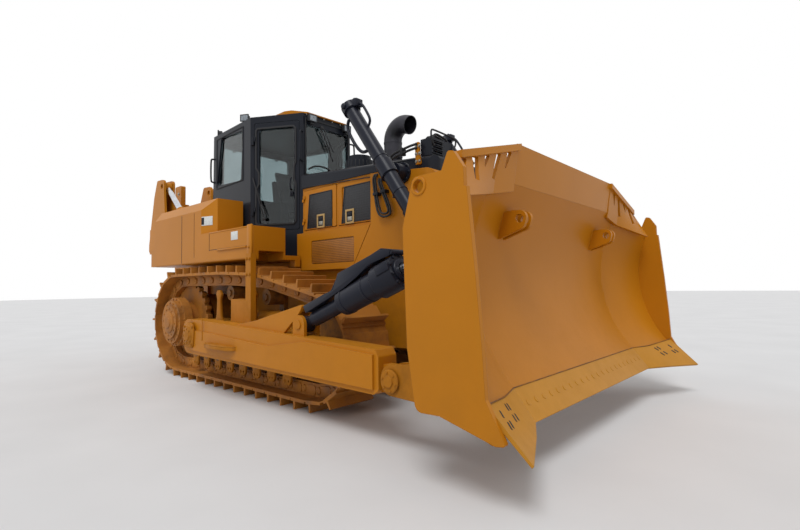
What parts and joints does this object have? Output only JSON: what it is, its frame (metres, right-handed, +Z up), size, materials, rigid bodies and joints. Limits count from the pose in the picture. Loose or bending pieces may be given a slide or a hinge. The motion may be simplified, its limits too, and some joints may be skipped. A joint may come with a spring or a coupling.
{
  "type": "crawler bulldozer",
  "caption": "Large crawler bulldozer with a semi-U blade on push arms, lift cylinders on the hood's front, an angled cab and a raised parallelogram ripper.",
  "frame": {"origin": "on the ground, midway along the machine's length and on its centre plane", "axes": "+X points forward to the blade, +Y to the machine's left, +Z up"},
  "size_m": [9.729, 4.314, 3.93],
  "materials": {
    "yellow_paint": "satin",
    "charcoal_paint": "satin",
    "track_steel": "worn",
    "chrome_rod": "polished",
    "tinted_glass": "clear",
    "seat_fabric": "matte",
    "dark_plastic": "matte",
    "edge_steel": "worn",
    "engine_iron": "matte"
  },
  "bodies": {
    "machine": {"main_frame": "yellow_paint", "engine_block": "engine_iron", "rear_tank": "yellow_paint", "radiator_guard": "yellow_paint", "radiator_grille": "charcoal_paint", "hood_panels": "yellow_paint", "hood_cowl": "charcoal_paint", "exhaust_pipe": "charcoal_paint", "precleaner": "charcoal_paint", "lamp_box": "yellow_paint", "cab_frame": "charcoal_paint", "cab_roof": "yellow_paint", "cab_glass": "tinted_glass", "cab_console": "dark_plastic", "seat": "seat_fabric", "side_box_left": "yellow_paint", "side_box_right": "yellow_paint", "track_frame_left": "yellow_paint", "track_frame_right": "yellow_paint", "track_left": "track_steel", "track_right": "track_steel", "final_drives": "track_steel", "track_wheels": "track_steel", "carrier_rollers": "yellow_paint", "lift_yokes": "yellow_paint", "hose_brackets": "yellow_paint", "ripper_bracket": "yellow_paint"},
    "door_right": {"cab_door_right": "charcoal_paint", "door_glass_right": "tinted_glass"},
    "door_left": {"cab_door_left": "charcoal_paint", "door_glass_left": "tinted_glass"},
    "hatch_rear_right": {"hatch_rear_right": "yellow_paint"},
    "hatch_rear_left": {"hatch_rear_left": "yellow_paint"},
    "hatch_front_right": {"hatch_front_right": "yellow_paint"},
    "hatch_front_left": {"hatch_front_left": "yellow_paint"},
    "push_arms": {"push_arms": "yellow_paint"},
    "blade": {"mouldboard": "yellow_paint", "end_plates": "yellow_paint", "cutting_edges": "edge_steel", "spill_guard": "yellow_paint", "blade_back": "yellow_paint"},
    "strut_tubes": {"tilt_barrel": "charcoal_paint", "brace_tube": "charcoal_paint"},
    "strut_rods": {"tilt_rod": "chrome_rod", "brace_screw": "chrome_rod"},
    "lift_barrels": {"lift_barrels": "charcoal_paint"},
    "lift_rods": {"lift_rods": "chrome_rod"},
    "ripper_arms": {"ripper_arms": "yellow_paint"},
    "ripper_links": {"ripper_links": "yellow_paint"},
    "ripper_beam": {"ripper_beam": "yellow_paint", "ripper_shank": "yellow_paint"},
    "ripper_barrels": {"ripper_barrels": "charcoal_paint"},
    "ripper_rods": {"ripper_rods": "chrome_rod"}
  },
  "joints": [
    {"name": "blade_lift", "type": "hinge", "parent": "machine", "child": "push_arms", "pos_m": [-0.1745, 0, 0.72], "axis": [0, -1, 0], "range_deg": [-11.8, 13]},
    {"name": "blade_pitch", "type": "hinge", "parent": "push_arms", "child": "blade", "pos_m": [3.4355, 0, 0.57], "axis": [0, -1, 0], "range_deg": [-5, 5]},
    {"name": "strut_swing", "type": "hinge", "parent": "push_arms", "child": "strut_tubes", "pos_m": [2.1295, 0, 0.962], "axis": [0, -1, 0], "range_deg": [-2.66, 2.66]},
    {"name": "strut_slide", "type": "slide", "parent": "strut_tubes", "child": "strut_rods", "axis": [0.9342, 0, 0.3567], "range_m": [-0.0746, 0.0746]},
    {"name": "lift_cylinder_swing", "type": "hinge", "parent": "machine", "child": "lift_barrels", "pos_m": [2.6145, 0, 2.585], "axis": [0, -1, 0], "range_deg": [-12.86, 14.11]},
    {"name": "lift_cylinder_slide", "type": "slide", "parent": "lift_barrels", "child": "lift_rods", "axis": [0.5733, 0, -0.8193], "range_m": [-0.7569, 0.6874]},
    {"name": "cab_door_right_swing", "type": "hinge", "parent": "machine", "child": "door_right", "pos_m": [-0.13576, -0.86352, 2.9625], "axis": [0, 0, -1], "range_deg": [0, 100]},
    {"name": "cab_door_left_swing", "type": "hinge", "parent": "machine", "child": "door_left", "pos_m": [-0.13576, 0.86352, 2.9625], "axis": [0, 0, 1], "range_deg": [0, 100]},
    {"name": "hatch_rear_right_swing", "type": "hinge", "parent": "machine", "child": "hatch_rear_right", "pos_m": [0.6225, -0.521, 2.409], "axis": [0, 0, -1], "range_deg": [0, 110]},
    {"name": "hatch_rear_left_swing", "type": "hinge", "parent": "machine", "child": "hatch_rear_left", "pos_m": [0.6225, 0.521, 2.409], "axis": [0, 0, 1], "range_deg": [0, 110]},
    {"name": "hatch_front_right_swing", "type": "hinge", "parent": "machine", "child": "hatch_front_right", "pos_m": [2.0485, -0.521, 2.409], "axis": [0, 0, 1], "range_deg": [0, 110]},
    {"name": "hatch_front_left_swing", "type": "hinge", "parent": "machine", "child": "hatch_front_left", "pos_m": [2.0485, 0.521, 2.409], "axis": [0, 0, -1], "range_deg": [0, 110]},
    {"name": "ripper_lift", "type": "hinge", "parent": "machine", "child": "ripper_arms", "pos_m": [-2.2445, 0, 0.95], "axis": [0, -1, 0], "range_deg": [0, 49]},
    {"name": "ripper_link_swing", "type": "hinge", "parent": "machine", "child": "ripper_links", "pos_m": [-2.3045, 0, 1.9], "axis": [0, -1, 0], "range_deg": [0, 49]},
    {"name": "ripper_beam_swing", "type": "hinge", "parent": "ripper_arms", "child": "ripper_beam", "pos_m": [-4.0545, 0, 2.51], "axis": [0, -1, 0], "range_deg": [-49, 0]},
    {"name": "ripper_cylinder_swing", "type": "hinge", "parent": "machine", "child": "ripper_barrels", "pos_m": [-2.2845, 0, 1.9], "axis": [0, -1, 0], "range_deg": [0, 49.87]},
    {"name": "ripper_cylinder_slide", "type": "slide", "parent": "ripper_barrels", "child": "ripper_rods", "axis": [-0.9454, 0, 0.3258], "range_m": [0, 0.7978]}
  ],
  "couplings": [
    {"joint": "strut_swing", "follows": "blade_pitch", "ratio": 0.43191},
    {"joint": "strut_slide", "follows": "blade_pitch", "m_per_rad": -0.83184},
    {"joint": "lift_cylinder_swing", "follows": "blade_lift", "ratio": 1.0471},
    {"joint": "lift_cylinder_slide", "follows": "blade_lift", "m_per_rad": -3.3182},
    {"joint": "ripper_link_swing", "follows": "ripper_lift", "ratio": 1},
    {"joint": "ripper_beam_swing", "follows": "ripper_lift", "ratio": -1},
    {"joint": "ripper_cylinder_swing", "follows": "ripper_lift", "ratio": 1.0075},
    {"joint": "ripper_cylinder_slide", "follows": "ripper_lift", "m_per_rad": 0.92822}
  ]
}
